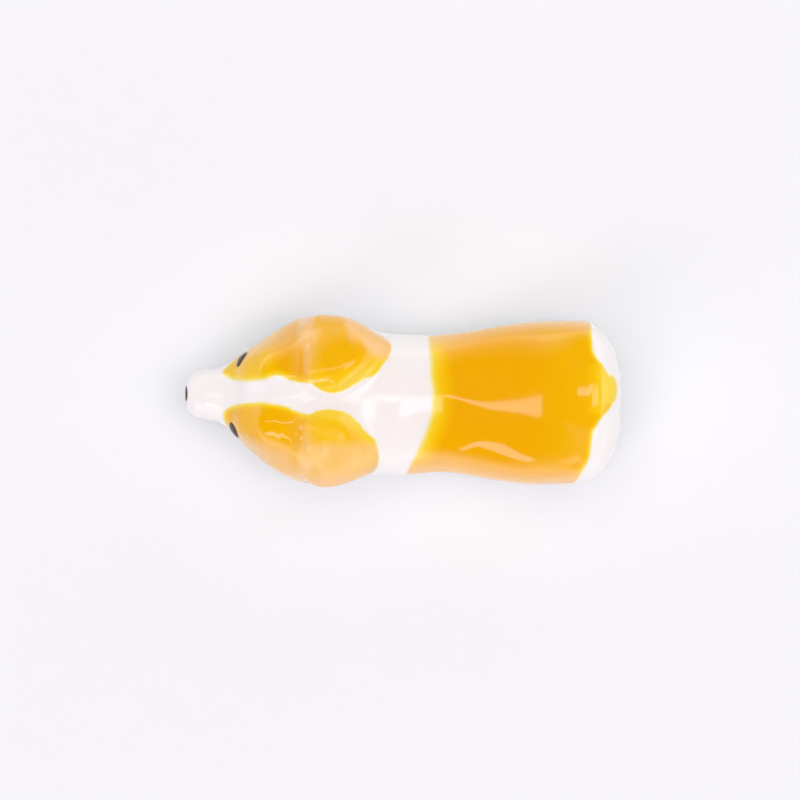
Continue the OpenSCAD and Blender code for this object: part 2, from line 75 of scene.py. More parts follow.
TORSO = np.array([
    [0.00, 0.40, 0.40, 0.36, 0.00, 0.00, 0.46, 1.20],
    [0.08, 0.55, 0.57, 0.56, 0.00, 0.00, 0.66, 1.20],
    [0.19, 0.72, 0.78, 0.84, 0.00, 0.00, 0.90, 1.20],
    [0.27, 0.80, 0.88, 0.98, 0.00, 0.00, 1.00, 1.20],
    [0.33, 0.81, 0.905, 1.00, 0.00, 0.00, 1.04, 1.18],
    [0.38, 0.80, 0.895, 0.97, 0.00, 0.00, 1.04, 1.10],
    [0.44, 0.785, 0.872, 0.42, 0.565, 0.00, 1.00, 1.02],
    [0.50, 0.805, 0.868, 0.00, 1.02, 0.00, 0.97, 0.98],
    [0.56, 0.835, 0.906, 0.00, 1.00, 0.00, 0.97, 1.00],
    [0.645, 0.90, 0.968, 0.00, 0.95, 0.064, 1.00, 1.20],
    [0.73, 0.945, 1.010, 0.00, 0.62, 0.373, 1.04, 1.45],
    [0.81, 0.962, 1.008, 0.00, 0.20, 0.778, 1.07, 1.85],
    [0.845, 0.962, 1.002, 0.00, 0.06, 0.925, 1.07, 2.05],
    [0.885, 0.962, 0.998, 0.00, 0.00, 0.998, 1.07, 2.10],
    [1.00, 0.925, 0.955, 0.00, 0.00, 0.995, 1.07, 1.90]])
HEAD = np.array([
    [0.00, 0.258, 0.258, 0.93, 0.00, 1.10, 0.80],
    [0.08, 0.271, 0.260, 0.98, 0.00, 1.02, 0.82],
    [0.165, 0.330, 0.305, 1.01, 0.00, 1.00, 0.84],
    [0.242, 0.478, 0.504, 0.50, 0.365, 0.96, 0.88],
    [0.296, 0.572, 0.627, 0.00, 0.74, 0.90, 0.92],
    [0.352, 0.678, 0.758, 0.00, 0.845, 0.80, 0.95],
    [0.444, 0.843, 0.903, 0.00, 0.955, 0.66, 0.98],
    [0.538, 0.981, 0.983, 0.00, 0.98, 0.54, 1.00],
    [0.662, 1.00, 1.00, 0.00, 0.955, 0.45, 1.05],
    [0.836, 0.89, 0.898, 0.00, 0.91, 0.45, 1.05],
    [1.00, 0.653, 0.67, 0.00, 0.80, 0.60, 1.00]])

# One ring of a skin: its middle, its half breadths, the height of its widest line, and how far it rises
# and drops from there
Ring = namedtuple("Ring", "middle right left widest rise drop")


def smooth_at(table, column, place):
    """The cubic through a table's stations that the solids use."""
    t, v = table[:, 0], table[:, column]
    place = np.clip(np.atleast_1d(place).astype(float), t[0], t[-1])
    i = np.clip(np.searchsorted(t, place, side="right") - 1, 0, len(t) - 2)
    lo, hi = np.maximum(np.arange(len(t)) - 1, 0), np.minimum(np.arange(len(t)) + 1, len(t) - 1)
    slope = (v[hi] - v[lo]) / (t[hi] - t[lo])
    w = t[i + 1] - t[i]
    u = (place - t[i]) / w
    rise, p, q = v[i + 1] - v[i], slope[i] * w, slope[i + 1] * w
    return v[i] + u * (p + u * (3 * rise - 2 * p - q + u * (p + q - 2 * rise)))


def blurred(values, width, step):
    """A profile with its kinks smoothed over the given width, so that reflections run on."""
    n = int(math.ceil(3 * width / step))
    kernel = np.exp(-0.5 * (np.arange(-n, n + 1) * step / width) ** 2)
    before = values[0] - (values[1] - values[0]) * np.arange(n, 0, -1)
    after = values[-1] + (values[-1] - values[-2]) * np.arange(1, n + 1)
    return np.convolve(np.concatenate([before, values, after]), kernel / kernel.sum(), "valid")


def torso_at(x):
    """The torso's rings at places along x."""
    s = (np.atleast_1d(x) - CHEST_X) / TORSO_L
    widest = smooth_at(TORSO, WIDEST, s) * FLANK_H
    top = (smooth_at(TORSO, NAPE, s) * NAPE_H + smooth_at(TORSO, BACK, s) * BACK_H
           + smooth_at(TORSO, RUMP, s) * RUMP_H)
    return Ring(0 * s, smooth_at(TORSO, RIGHT, s) * TORSO_W / 2, smooth_at(TORSO, LEFT, s) * TORSO_W / 2,
                widest, top - widest, widest * BELLY_SHARE)


def head_at(x):
    """The head's rings at places along x."""
    s = (np.atleast_1d(x) - MUZZLE_X) / HEAD_L
    widest = smooth_at(HEAD, WIDEST, s) * CHEEK_H
    top = smooth_at(HEAD, MUZZLE, s) * MUZZLE_H + smooth_at(HEAD, CROWN, s) * CROWN_H
    return Ring(MUZZLE_OFF * np.maximum(0, 1 - s / TURN_SHARE), smooth_at(HEAD, RIGHT, s) * HEAD_W / 2,
                smooth_at(HEAD, LEFT, s) * HEAD_W / 2, widest, top - widest,
                widest - smooth_at(HEAD, CHIN, s) * CHIN_H)


def ring_at(form, x):
    """One ring as plain numbers."""
    return Ring(*(float(v[0]) for v in form(x)))


def skull_core(x):
    """The middle of the head's widest line."""
    ring = ring_at(head_at, x)
    return np.array([x, ring.middle, ring.widest])


def skull_point(share, angle):
    """A point on the skull at a share of its length and an angle round the ring."""
    x = MUZZLE_X + share * HEAD_L
    ring = ring_at(head_at, x)
    c, s = math.cos(math.radians(angle)), math.sin(math.radians(angle))
    c = math.copysign(abs(c) ** (1 / SKULL_POWER), c)
    s = math.copysign(abs(s) ** (1 / SKULL_POWER), s)
    return np.array([x, ring.middle + c * (ring.right if c > 0 else ring.left),
                     ring.widest + s * (ring.rise if s > 0 else ring.drop)])


# Fields: the distance to each clay form on a grid, negative inside
FLAT_SLOPE = 0.02
FAR = np.float32(9.0)
LOBE_MARGIN, CHAIN_MARGIN = 2.8, 3.0
SKIN_BLUR, SKULL_BLUR, LOBE_BLUR = 0.7, 1.5, 0.6
LINK_BLEND = 0.5


def box_of(low, high):
    """Slices of the grid that hold a box, and its coordinates."""
    a = np.clip(np.floor((np.array(low) - LOW) / STEP).astype(int), 0, COUNT - 1)
    b = np.clip(np.ceil((np.array(high) - LOW) / STEP).astype(int) + 1, 1, COUNT)
    cut = tuple(slice(a[i], b[i]) for i in range(3))
    return cut, GRID_X[cut[0]][:, None, None], GRID_Y[cut[1]][None, :, None], GRID_Z[cut[2]][None, None, :]


def as_distance(g):
    """Turns an implicit form into about a distance."""
    dx, dy, dz = np.gradient(g, STEP)
    size = np.sqrt(dx * dx + dy * dy + dz * dz)
    return g / np.maximum(size, FLAT_SLOPE)


def soft_min(a, b, k):
    """The lower of two fields, with the crease between them rounded over k."""
    h = np.maximum(k - np.abs(a - b), 0) / k
    return np.minimum(a, b) - h * h * k / 4


def loft(form, square, ends, rounding, powers, blur):
    """A skin through rings along x: ends in x, how long each end's rounding is, and how full."""
    middle, right, left, widest, rise, drop = [blurred(v, blur, STEP)[:, None, None] for v in form]
    (x0, x1), (r0, r1), (k0, k1) = ends, rounding, powers
    y, z = Y3 - middle, Z3 - widest
    a = np.abs(y) / np.where(y > 0, right, left)
    b = np.abs(z) / np.where(z > 0, rise, drop)
    rho = (a ** square + b ** square) ** (1 / square)
    u0, u1 = np.clip((x0 + r0 - X3) / r0, 0, None), np.clip((X3 - x1 + r1) / r1, 0, None)
    g = np.where(u0 > 0, (u0 ** k0 + rho ** k0) ** (1 / k0), (u1 ** k1 + rho ** k1) ** (1 / k1)) - 1
    return as_distance(g.astype(np.float32))


def lobe(rows, roll, ends, rounding, square):
    """A flat lobe along x, through rows of x, middle y, middle z, half breadth and half thickness."""
    rows = np.array(rows)
    (x0, x1), (r0, r1) = ends, rounding
    reach = rows[:, 3].max() + LOBE_MARGIN
    cut, x, y, z = box_of([x0 - LOBE_MARGIN, rows[:, 1].min() - reach, rows[:, 2].min() - reach],
                          [x1 + LOBE_MARGIN, rows[:, 1].max() + reach, rows[:, 2].max() + reach])
    profiles = [np.interp(x[:, 0, 0], rows[:, 0], rows[:, i]) for i in (1, 2, 3, 4)]
    middle_y, middle_z, half, thick = [blurred(v, LOBE_BLUR, STEP)[:, None, None] for v in profiles]
    c, s = math.cos(math.radians(roll)), math.sin(math.radians(roll))
    v, w = (y - middle_y) * c + (z - middle_z) * s, (z - middle_z) * c - (y - middle_y) * s
    rho = ((np.abs(v) / half) ** square + (np.abs(w) / thick) ** square) ** (1 / square)
    u = np.where(x < x0 + r0, np.clip((x0 + r0 - x) / r0, 0, None), np.clip((x - x1 + r1) / r1, 0, None))
    g = (u ** 2 + rho ** 2) ** 0.5 - 1
    return cut, as_distance(g.astype(np.float32))


def chain(balls):
    """Balls joined in a row: (point, radius)."""
    middles = np.array([b[0] for b in balls])
    radius = max(b[1] for b in balls) + CHAIN_MARGIN
    cut, x, y, z = box_of(middles.min(0) - radius, middles.max(0) + radius)
    out = None
    for (a, ra), (b, rb) in zip(balls[:-1], balls[1:]):
        ab = np.array(b) - np.array(a)
        t = np.clip(((x - a[0]) * ab[0] + (y - a[1]) * ab[1] + (z - a[2]) * ab[2]) / ab.dot(ab), 0, 1)
        d = np.sqrt((x - a[0] - t * ab[0]) ** 2 + (y - a[1] - t * ab[1]) ** 2 + (z - a[2] - t * ab[2]) ** 2)
        d = (d - (ra + t * (rb - ra))).astype(np.float32)
        out = d if out is None else soft_min(out, d, LINK_BLEND)
    return cut, out


def whole(cut, part):
    """A form's field on the whole grid, far away outside its own box."""
    out = np.full(tuple(COUNT), FAR, np.float32)
    out[cut] = np.minimum(part, FAR)
    return out


# The line of the torso's spine wanders a little: (x, how far to the right)
SPINE = ((-2, 0), (5, 0.7), (12, -0.5), (20, -0.4), (26, 0))
TORSO_ROUNDING, TORSO_POWERS = (5.0, 6.0), (2.0, 2.3)
SKULL_ROUNDING, SKULL_POWERS = (3.0, 6.0), (2.0, 2.0)
NOSE_GAP = 0.15
# Brows and lip pads: share of the head where each starts and ends, and its angle round the skull
BROWS = ((0.375, 0.490, 58), (0.355, 0.480, 119))
BROW_R, BROW_END_SHARE, BROW_SUNK_SHARE, BROW_INSET, BROW_BLEND = 3.6, 0.93, 0.86, 0.3, 2.6
LIPS = ((0.06, 0.14, -22), (0.06, 0.14, 202))
LIP_R, LIP_TAPER, LIP_OUT_SHARE, LIP_INSET, LIP_BLEND = 2.0, 0.15, 0.48, 0.15, 1.2


def torso_field():
    spine = np.interp(GRID_X, *zip(*SPINE))
    ring = torso_at(GRID_X)
    form = ring._replace(middle=spine, right=ring.right - spine, left=ring.left + spine)
    # The section goes from round at the waist to square at the haunches
    squareness = blurred(smooth_at(TORSO, SQUARENESS, (GRID_X - CHEST_X) / TORSO_L), SKIN_BLUR, STEP)
    return loft(form, 2 * squareness[:, None, None], (CHEST_X, RUMP_X), TORSO_ROUNDING, TORSO_POWERS,
                SKIN_BLUR)


def sunk(share, angle, depth):
    """A point at a depth below the skull's skin."""
    top = skull_point(share, angle)
    inward = skull_core(top[0]) - top
    return top + inward / np.linalg.norm(inward) * depth


def skull_field():
    out = loft(head_at(GRID_X), 2 * SKULL_POWER, (MUZZLE_X + NOSE_GAP, MUZZLE_X + HEAD_L), SKULL_ROUNDING,
               SKULL_POWERS, SKULL_BLUR)
    for start, end, angle in BROWS:
        stations = ((start, BROW_END_SHARE), ((start + end) / 2, 1.0), (end, BROW_END_SHARE))
        cut, brow = chain([(sunk(s, angle, BROW_R * BROW_SUNK_SHARE), BROW_R * r) for s, r in stations])
        out[cut] = soft_min(out[cut], brow + BROW_INSET, BROW_BLEND)
    for start, end, angle in LIPS:
        balls = []
        for t in (0, 0.5, 1):
            side = skull_point(start + (end - start) * t, angle)
            middle = skull_core(side[0])
            balls.append((middle + (side - middle) * LIP_OUT_SHARE, LIP_R * (1 - LIP_TAPER * t)))
        cut, lip = chain(balls)
        out[cut] = soft_min(out[cut], lip + LIP_INSET, LIP_BLEND)
    return out


# Ears, right at 1 and left at -1. Rows: place along the ear, then shares of half its breadth, of half its
# thickness, of its height above the table and of its distance out.
EAR_W, EAR_T, EAR_OUT, EAR_H, EAR_ROLL = 12.0, 6.4, 6.8, 15.7, 27
EAR_L = {1: 11.7, -1: 9.3}
EAR_ROWS = {
    1: np.array([
        [0.07, 0.889, 0.62, 0.978, 1.05],
        [0.16, 0.886, 0.82, 0.975, 1.024],
        [0.27, 0.939, 1.00, 0.975, 0.965],
        [0.39, 0.918, 1.00, 0.992, 0.975],
        [0.51, 0.81, 0.93, 1.000, 1.012],
        [0.63, 0.675, 0.84, 0.987, 1.03],
        [0.74, 0.524, 0.74, 0.952, 1.025],
        [0.83, 0.392, 0.64, 0.911, 1.015],
        [0.90, 0.265, 0.52, 0.880, 1.02]]),
    -1: np.array([
        [0.07, 0.91, 0.62, 0.978, 1.005],
        [0.16, 0.93, 0.82, 0.973, 1.01],
        [0.27, 0.94, 1.00, 0.972, 1.005],
        [0.39, 0.93, 1.00, 0.985, 1.005],
        [0.51, 0.89, 0.94, 0.990, 0.995],
        [0.63, 0.812, 0.87, 0.975, 1.00],
        [0.74, 0.684, 0.80, 0.945, 1.044],
        [0.83, 0.566, 0.72, 0.915, 1.066],
        [0.90, 0.43, 0.62, 0.885, 1.103]])}
EAR_ROOT, EAR_TIP, EAR_TIP_SHARE, EAR_ROUNDING, EAR_SQUARE = 1.8, 0.35, 0.27, (3.4, 1.3), 2.0
CREASE_SHARE = 0.563
CREASE_X = MUZZLE_X + CREASE_SHARE * HEAD_L


def ear_lines(side):
    """Stations of an ear: x, middle y, middle z, half breadth, half thickness."""
    place, breadth, thickness, height, out = EAR_ROWS[side].T
    return np.stack([CREASE_X + place * EAR_L[side], side * EAR_OUT * out, EAR_H * height,
                     EAR_W / 2 * breadth, EAR_T / 2 * thickness], axis=1)


def ear_field(side):
    rows = ear_lines(side)
    ends = (rows[0, 0] - EAR_ROOT, rows[-1, 0] + EAR_TIP_SHARE * rows[-1, 3] + EAR_TIP)
    return whole(*lobe(rows, -side * EAR_ROLL, ends, EAR_ROUNDING, EAR_SQUARE))


# The tail. Rows: place along it, then shares of half its breadth, of half its thickness and of the rump's
# height.
TAIL_L, TAIL_W, TAIL_T, TAIL_Y, TAIL_END_SHARE = 9.0, 9.4, 5.6, 1.5, 0.19
TAIL_ROWS = (
    (0.10, 0.62, 0.52, 0.838), (0.20, 0.78, 0.68, 0.864), (0.31, 0.90, 0.82, 0.882),
    (0.42, 0.98, 0.92, 0.890), (0.53, 1.00, 1.00, 0.888), (0.63, 0.99, 0.98, 0.880),
    (0.72, 0.93, 0.92, 0.868), (0.80, 0.82, 0.82, 0.855), (0.86, 0.66, 0.66, 0.842))
TAIL_ROOT_IN, TAIL_TIP_OUT, TAIL_ROUNDING, TAIL_SQUARE = 1.6, 1.2, (4.5, 2.6), 2.8


def tail_field():
    tip_x = RUMP_X - RUMP_ROUND * TAIL_END_SHARE
    rows = [[tip_x - TAIL_L * (1 - place), TAIL_Y, RUMP_H * height, TAIL_W / 2 * half, TAIL_T / 2 * thick]
            for place, half, thick, height in TAIL_ROWS]
    ends = (rows[0][0] + TAIL_ROOT_IN, rows[-1][0] + TAIL_TIP_OUT)
    return whole(*lobe(rows, 0, ends, TAIL_ROUNDING, TAIL_SQUARE))


# Limbs. Rows: place along the limb, distance out, height (of the forelegs only) and thickness, all as shares.
LEG_L, LEG_W, LEG_GAP, ELBOW_SHARE, TOE_BACK = 18.0, 4.5, 0.15, 0.19, 1.0
LEG_ROWS = ((0.04, 1.86, 0.58, 1.00), (0.20, 1.72, 0.60, 1.10), (0.36, 1.48, 0.58, 1.08),
            (0.52, 1.16, 0.53, 1.00), (0.68, 0.77, 0.48, 0.95), (0.84, 0.46, 0.44, 0.98))
FOOT_L, FOOT_W, FOOT_SUNK_SHARE, HEEL_SHARE = 12.5, 5.0, 0.8, 0.87
FOOT_ROWS = ((0.00, 0.68, 0.76), (0.17, 0.705, 0.92), (0.34, 0.72, 1.00), (0.51, 0.735, 1.00),
             (0.68, 0.75, 0.96), (0.85, 0.765, 0.98))
TOE_IN, TOE_STAGGER, TOE_SPREAD, TOE_Z, TOE_R, TOE_BLEND = 0.15, 0.6, 0.27, 1.1, 1.15, 0.35


def foreleg(side):
    """Balls along a foreleg, where its toes are, and its width."""
    elbow = CHEST_X + ELBOW_SHARE * TORSO_L
    balls = []
    for place, out, up, r in LEG_ROWS:
        x = elbow - place * LEG_L
        y = ring_at(head_at, x).middle + side * (LEG_GAP + LEG_W * out)
        balls.append((np.array([x, y, LEG_W * up]), LEG_W / 2 * r))
    return balls, elbow - LEG_L + TOE_BACK, LEG_W


def hind_foot(side):
    """Balls along a hind foot, where its toes are, and its width."""
    heel = CHEST_X + HEEL_SHARE * TORSO_L
    balls = []
    for place, out, r in FOOT_ROWS:
        x = heel - place * FOOT_L
        ring = ring_at(torso_at, x)
        y = side * (ring.right if side > 0 else ring.left) * out
        balls.append((np.array([x, y, FOOT_W / 2 * r * FOOT_SUNK_SHARE]), FOOT_W / 2 * r))
    return balls, heel - FOOT_L, FOOT_W


def foot_field(balls, toe_x, w):
    """A limb with three toes."""
    out = whole(*chain(balls))
    last = balls[-1]
    for k in (-1, 0, 1):
        toe = np.array([toe_x + TOE_IN + TOE_STAGGER * abs(k), last[0][1] + k * w * TOE_SPREAD, TOE_Z])
        cut, d = chain([last, (toe, TOE_R)])
        out[cut] = soft_min(out[cut], d, TOE_BLEND)
    return out


# The pieces of clay, each with how softly slip and glaze round the crease where it joins the rest
NAMES = ["torso", "head", "right_ear", "left_ear", "front_right_paw", "front_left_paw",
         "hind_right_foot", "hind_left_foot", "tail"]
TORSO_PIECE, HEAD_PIECE, RIGHT_EAR, LEFT_EAR = range(4)
TAIL_PIECE = NAMES.index("tail")
BLENDS = (2.2, 1.9, 1.9, 0.5, 0.5, 0.9, 0.9, 1.6)
FOOT_EDGE = 0.5
parts = [torso_field(), skull_field(), ear_field(1), ear_field(-1), foot_field(*foreleg(1)),
         foot_field(*foreleg(-1)), foot_field(*hind_foot(1)), foot_field(*hind_foot(-1)), tail_field()]
field = parts[0].copy()
for part, blend in zip(parts[1:], BLENDS):
    field = soft_min(field, part, blend)
# The foot is ground flat on the table, with a small worn edge
field = -soft_min(-field, np.broadcast_to(Z3, field.shape).astype(np.float32), FOOT_EDGE)


def top_of(x, y):
    """The highest point of the figure at a place seen from above."""
    i, j = round((x - LOW[0]) / STEP), round((y - LOW[1]) / STEP)
    while not (field[i, j] < 0).any():
        j += 1 if y < 0 else -1
    k = np.flatnonzero(field[i, j] < 0)[-1]
    a, b = field[i, j, k], field[i, j, k + 1]
    return np.array([x, GRID_Y[j], GRID_Z[k] + STEP * a / (a - b)])


# The crease in front of each ear, pressed with a tool: its course seen from above, and the tool's radii
GROOVES = (((-14.05, 3.0), (-14.0, 4.6), (-13.9, 6.2), (-13.7, 7.8)),
           ((-14.2, -3.0), (-14.3, -4.4), (-14.2, -5.8), (-14.0, -6.8)))
GROOVE_RADII, GROOVE_RISE, GROOVE_BLEND = (0.5, 0.78, 0.78, 0.5), 0.38, 0.5
for course in GROOVES:
    middles = [top_of(*place) + (0, 0, GROOVE_RISE) for place in course]
    cut, groove = chain(list(zip(middles, GROOVE_RADII)))
    field[cut] = -soft_min(-field[cut], groove, GROOVE_BLEND)
gradient = np.gradient(field, STEP)


def sample(volume, places):
    """Trilinear value of a grid at places."""
    q = (places - LOW) / STEP
    i = np.clip(np.floor(q).astype(int), 0, COUNT - 2)
    f = np.clip(q - i, 0, 1)
    out = 0
    for c in range(8):
        o = np.array([c & 1, c >> 1 & 1, c >> 2])
        w = np.prod(np.where(o, f, 1 - f), axis=1)
        j = i + o
        out = out + w * volume[j[:, 0], j[:, 1], j[:, 2]]
    return out


def slope_at(places):
    return np.stack([sample(g, places) for g in gradient], axis=1)


# The skin: one surface of even quads on the field's zero level
def surface_net():
    inside = field < 0
    nx, ny, nz = (n - 1 for n in COUNT)
    total = np.zeros((nx, ny, nz), np.int8)
    for c in range(8):
        o = (c & 1, c >> 1 & 1, c >> 2)
        total += inside[o[0]:o[0] + nx, o[1]:o[1] + ny, o[2]:o[2] + nz]
    cells = np.argwhere((total > 0) & (total < 8))
    index = np.full((nx, ny, nz), -1, np.int64)
    index[cells[:, 0], cells[:, 1], cells[:, 2]] = np.arange(len(cells))
    faces = []
    for axis in range(3):
        lo = [slice(None)] * 3
        hi = [slice(None)] * 3
        lo[axis], hi[axis] = slice(0, -1), slice(1, None)
        a, b = inside[tuple(lo)], inside[tuple(hi)]
        u, v = (axis + 1) % 3, (axis + 2) % 3
        for leaving in (True, False):
            e = np.argwhere((a & ~b) if leaving else (~a & b))
            e = e[(e[:, u] > 0) & (e[:, v] > 0) & (e[:, u] < COUNT[u] - 1) & (e[:, v] < COUNT[v] - 1)]
            ring = []
            for du, dv in ((-1, -1), (0, -1), (0, 0), (-1, 0)):
                c = e.copy()
                c[:, u] += du
                c[:, v] += dv
                ring.append(index[c[:, 0], c[:, 1], c[:, 2]])
            faces.append(np.stack(ring if leaving else ring[::-1], axis=1))
    return LOW + (cells + 0.5) * STEP, np.concatenate(faces)


def sides_of(faces):
    """The four edges of each quad."""
    return np.concatenate([faces[:, [0, 1]], faces[:, [1, 2]], faces[:, [2, 3]], faces[:, [3, 0]]])


# Points move onto the zero level in strides, and in the even rounds each is drawn towards its neighbours
STRIDE, LEAST_SLOPE = 0.2, 0.05
FIRST_SETTLE, LAST_SETTLE = 3, 2
EVEN_ROUNDS, EVEN_PULL = 10, 0.6


def settle(p, rounds):
    """Moves points onto the zero level."""
    for _ in range(rounds):
        g = slope_at(p)
        step = sample(field, p) / np.maximum((g * g).sum(1), LEAST_SLOPE)
        p = p - step[:, None].clip(-STRIDE, STRIDE) * g
    return p


def unit(v):
    return v / np.linalg.norm(v, axis=1)[:, None]


points, quads = surface_net()
edges = np.unique(np.sort(sides_of(quads), axis=1), axis=0)
degree = np.bincount(edges.ravel(), minlength=len(points)).astype(float)


def neighbour_mean(values):
    """The mean of the values at each point's neighbours on the skin."""
    a, b = edges.T
    return (np.bincount(a, values[b], len(values)) + np.bincount(b, values[a], len(values))) / degree


def softened(values, rounds):
    """Values on the skin once they have spread to their neighbours."""
    for _ in range(rounds):
        values = 0.5 * values + 0.5 * neighbour_mean(values)
    return values


points = settle(points, FIRST_SETTLE)
for _ in range(EVEN_ROUNDS):
    move = np.stack([neighbour_mean(column) for column in points.T], axis=1) - points
    n = unit(slope_at(points))
    points = settle(points + EVEN_PULL * (move - (move * n).sum(1)[:, None] * n), 1)
points = settle(points, LAST_SETTLE)
normals = unit(slope_at(points))

# Glaze outlines, as places in the photograph. Its pixels become millimetres by a middle and a scale.
PHOTO_X, PHOTO_Y, PHOTO_SCALE = 402.7, 400.5, 7.16
OUTLINE_BLUR, OUTLINE_COUNT = 0.35, 400
SADDLE_FRONT_PX = ((428, 300), (428, 335), (429, 373), (431, 397), (430.5, 412), (425, 430), (416, 451),
                   (405, 475), (400, 500))
SADDLE_REAR_PX = ((588, 300), (588.5, 325), (589.5, 350), (592, 357), (601, 368), (608, 378), (612, 386),
                  (613.5, 394), (612, 401), (608, 408), (598, 417), (593, 425), (589, 435), (587, 454),
                  (581, 468), (572, 482), (560, 500))
FACE_INNER_PX = {
    1: ((219, 364), (220.5, 371), (223, 375.5), (228, 379), (236, 381), (251, 382), (267, 380),
        (276, 375.5), (284, 376), (292, 381), (305, 383), (330, 384)),
    -1: ((219, 419), (224, 412), (231, 406), (246, 403.2), (261, 402), (276, 404), (287, 406.5),
         (297, 411), (306, 414), (330, 414))}
FACE_FRONT_PX = {
    1: ((232, 350), (226, 360), (221.5, 368), (221, 374), (223, 380), (223, 390)),
    -1: ((223, 400), (223, 410), (223, 417), (226, 425), (231, 433), (236, 441))}
# The saddle's lower edge waves round a height. The face's falls away from the muzzle, in shares of the
# head's length and of a height.
HEM_H, HEM_WAVE, HEM_START, HEM_PERIOD = 5.6, 0.6, -17.4, 16
FACE_HEM_H = 6.0
FACE_HEM = ((0.10, 1.75), (0.16, 1.62), (0.22, 1.44), (0.28, 1.28), (0.36, 1.12), (0.45, 1.02), (0.56, 1.0),
            (0.75, 1.04))
FACE_UNDER_EAR = 2.0
EAR_TIP_RIM = 0.9


def px(rows):
    """Photograph pixels to millimetres."""
    return [((x - PHOTO_X) / PHOTO_SCALE, (PHOTO_Y - y) / PHOTO_SCALE) for x, y in rows]


def across(rows):
    """An outline in pixels as x over y."""
    return [(y, x) for x, y in px(rows)]


def edge_curve(rows, where):
    """A hand-painted edge through points (place, value), smoothed."""
    rows = np.array(sorted(rows))
    fine = np.linspace(rows[0, 0], rows[-1, 0], OUTLINE_COUNT)
    value = blurred(np.interp(fine, rows[:, 0], rows[:, 1]), OUTLINE_BLUR, fine[1] - fine[0])
    return np.interp(where, fine, value)


def saddle_depth(p):
    """Distance inside the saddle's edge, and which edge is nearest."""
    front = edge_curve(across(SADDLE_FRONT_PX), p[:, 1])
    rear = edge_curve(across(SADDLE_REAR_PX), p[:, 1])
    low = HEM_H + HEM_WAVE * np.sin((p[:, 0] - HEM_START) * 2 * math.pi / HEM_PERIOD)
    d = np.stack([p[:, 0] - front, rear - p[:, 0], p[:, 2] - low], axis=1)
    return d.min(1), d.argmin(1)


def face_depth(p, side):
    """Distance inside the edge of the colour on one side of the face."""
    line = edge_curve(px(FACE_INNER_PX[side]), p[:, 0])
    front = edge_curve(across(FACE_FRONT_PX[side]), p[:, 1])
    low = edge_curve([(MUZZLE_X + a * HEAD_L, b * FACE_HEM_H) for a, b in FACE_HEM], p[:, 0])
    rear = CREASE_X + FACE_UNDER_EAR
    d = np.stack([side * (p[:, 1] - line), p[:, 0] - front, p[:, 2] - low, rear - p[:, 0]], axis=1)
    return d.min(1)


def ear_rim(p, side):
    """How far a point lies inside an ear's inner rim and before its tip."""
    rows = ear_lines(side)
    middle_y, middle_z, half = (np.interp(p[:, 0], rows[:, 0], rows[:, i]) for i in (1, 2, 3))
    c, s = math.cos(math.radians(-side * EAR_ROLL)), math.sin(math.radians(-side * EAR_ROLL))
    v = (p[:, 1] - middle_y) * c + (p[:, 2] - middle_z) * s
    return half + side * v, rows[-1, 0] + EAR_TIP_RIM - p[:, 0]


def nearest_form(p):
    """Which piece of clay each point belongs to."""
    return np.argmin(np.stack([sample(part, p) for part in parts], axis=1), axis=1)


def ease(v, start, end):
    """0 at the start, 1 at the end, smooth between."""
    t = np.clip((v - start) / (end - start), 0, 1)
    return t ** 2 * (3 - 2 * t)


label = nearest_form(points)
on_torso, on_head, on_tail = label == TORSO_PIECE, label == HEAD_PIECE, label == TAIL_PIECE
on_right_ear, on_left_ear = label == RIGHT_EAR, label == LEFT_EAR
on_ear = on_right_ear | on_left_ear
x, y, z = points.T
# The line along the blaze that parts the right side of the face from the left
SPLIT_Y = 0.9
on_right_side = y > SPLIT_Y
s_depth, s_edge = saddle_depth(points)
f_depth = np.where(on_right_side, face_depth(points, 1), face_depth(points, -1))

# Colour strength of the glaze: 0 bare white, 1 full orange. The saddle reaches it some way in from its front
# edge, its rear edge and its hem. A fade is a row of places along x and the strengths there.
SADDLE_REACH = np.array([3.4, 0.8, 1.6])
SADDLE_FADE = ((16.5, 22.5), (1, 0.84))
RIGHT_FACE_FADE, LEFT_FACE_MOST = ((-24, -18.5, -16.6), (0.5, 0.62, 1)), 0.86
EAR_LEAST, EAR_AT_RIM, EAR_GAIN, EAR_MOST = 0.3, 0.35, 0.4, {1: 0.85, -1: 0.56}
EAR_RIM_REACH, EAR_TIP_REACH = 1.8, 1.6
TAIL_FADE = ((22.5, 25.2, 27.8), (0.84, 0.78, 0.22))
TINT_ROUNDS = 3
right_fade = np.interp(x, *RIGHT_FACE_FADE)
saddle_tint = np.clip(s_depth / SADDLE_REACH[s_edge], 0, np.interp(x, *SADDLE_FADE))
face_tint = np.clip(np.where(on_right_side, f_depth * right_fade, f_depth), 0,
                    np.where(on_right_side, right_fade, LEFT_FACE_MOST))
tint = np.zeros(len(points))
tint[on_torso] = saddle_tint[on_torso]
tint[on_head] = face_tint[on_head]
for on, side in ((on_right_ear, 1), (on_left_ear, -1)):
    rim, tip = ear_rim(points[on], side)
    rise = EAR_AT_RIM + EAR_GAIN * np.minimum(rim / EAR_RIM_REACH, tip / EAR_TIP_REACH)
    tint[on] = np.clip(rise, EAR_LEAST, EAR_MOST[side])
tint[on_tail] = np.interp(x[on_tail], *TAIL_FADE)
# Colours run into each other as wet glaze does
tint = softened(tint, TINT_ROUNDS)

